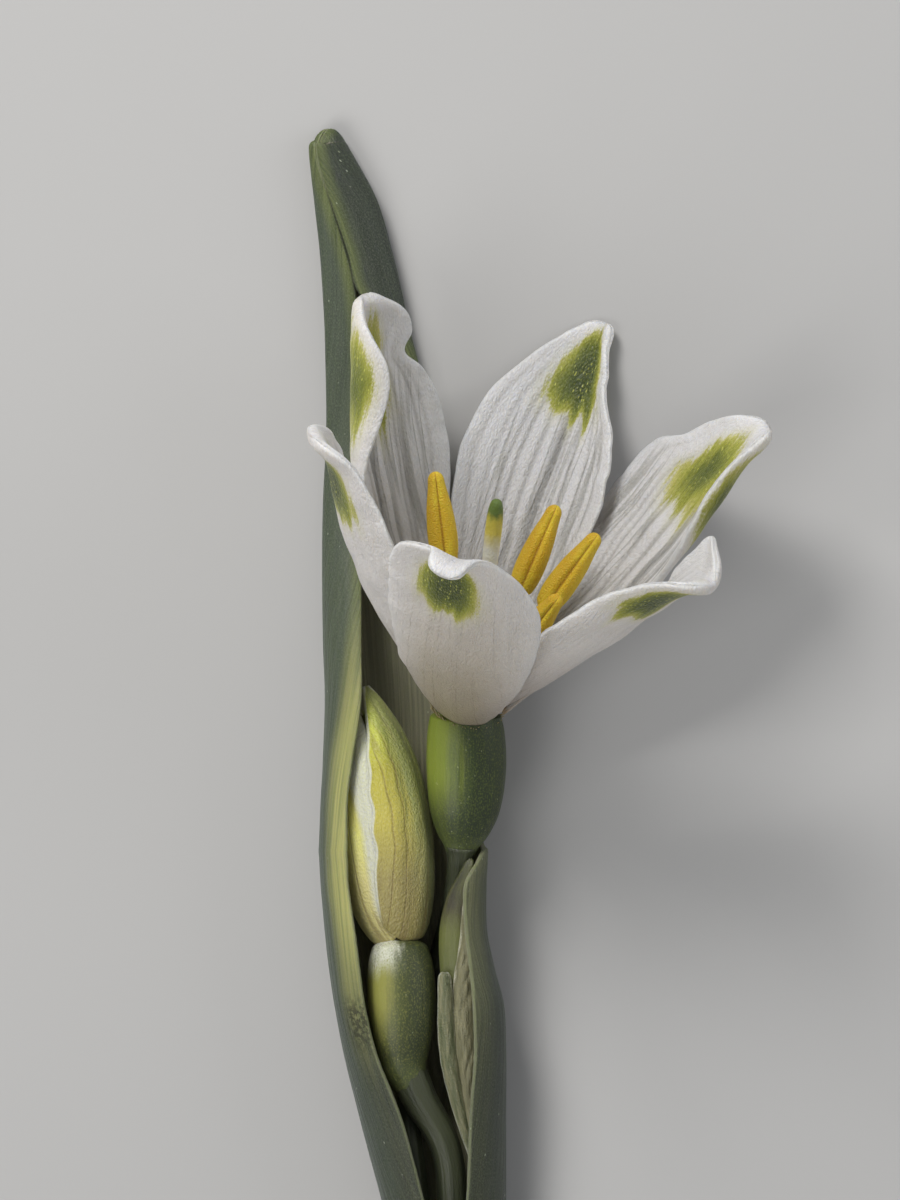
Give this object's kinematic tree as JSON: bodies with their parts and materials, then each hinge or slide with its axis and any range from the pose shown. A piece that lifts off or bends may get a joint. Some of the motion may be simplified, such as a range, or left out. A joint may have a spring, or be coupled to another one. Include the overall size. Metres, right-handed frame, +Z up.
{
  "type": "flowering snowflake sprig",
  "caption": "Picked snowflake (snowdrop-like) sprig lying on its back: a white, green-marked bell flower, a closed bud and a young bud in one green sheath on a cut stem.",
  "frame": {"origin": "middle of the sprig's bounding box, on the surface it lies on", "axes": "+Y along the sprig from the cut end of the stem to the sheath's tip, +X to the right of the stem as pictured, +Z up from the surface"},
  "size_m": [0.0226, 0.0694, 0.0234],
  "materials": {
    "petal_white": "satin white petal",
    "anther_yellow": "matt yellow",
    "sheath_green": "satin, blue-green bloom",
    "ovary_green": "smooth, half gloss",
    "stalk_green": "satin green",
    "bud_yellow_green": "satin yellow-green petal",
    "bract_olive": "dull papery"
  },
  "bodies": {
    "root": {"stem": "sheath_green", "sheath": "sheath_green", "petal_inner_back": "petal_white", "petal_outer_right": "petal_white", "petal_inner_right": "petal_white", "petal_outer_front": "petal_white", "petal_inner_left": "petal_white", "petal_outer_left": "petal_white", "filament_1": "petal_white", "filament_2": "petal_white", "filament_3": "petal_white", "filament_4": "petal_white", "filament_5": "petal_white", "filament_6": "petal_white", "anther_1": "anther_yellow", "anther_2": "anther_yellow", "anther_3": "anther_yellow", "anther_4": "anther_yellow", "anther_5": "anther_yellow", "anther_6": "anther_yellow", "style": "petal_white", "flower_ovary": "ovary_green", "flower_stalk": "stalk_green", "bud_petal_right": "bud_yellow_green", "bud_petal_left": "bud_yellow_green", "bud_petal_back": "bud_yellow_green", "bud_inner_petals": "petal_white", "bud_ovary": "ovary_green", "bud_stalk": "stalk_green", "young_bud": "ovary_green", "young_bud_stalk": "stalk_green", "young_bud_bract": "bract_olive", "young_bud_small_bract": "stalk_green"}
  },
  "joints": []
}
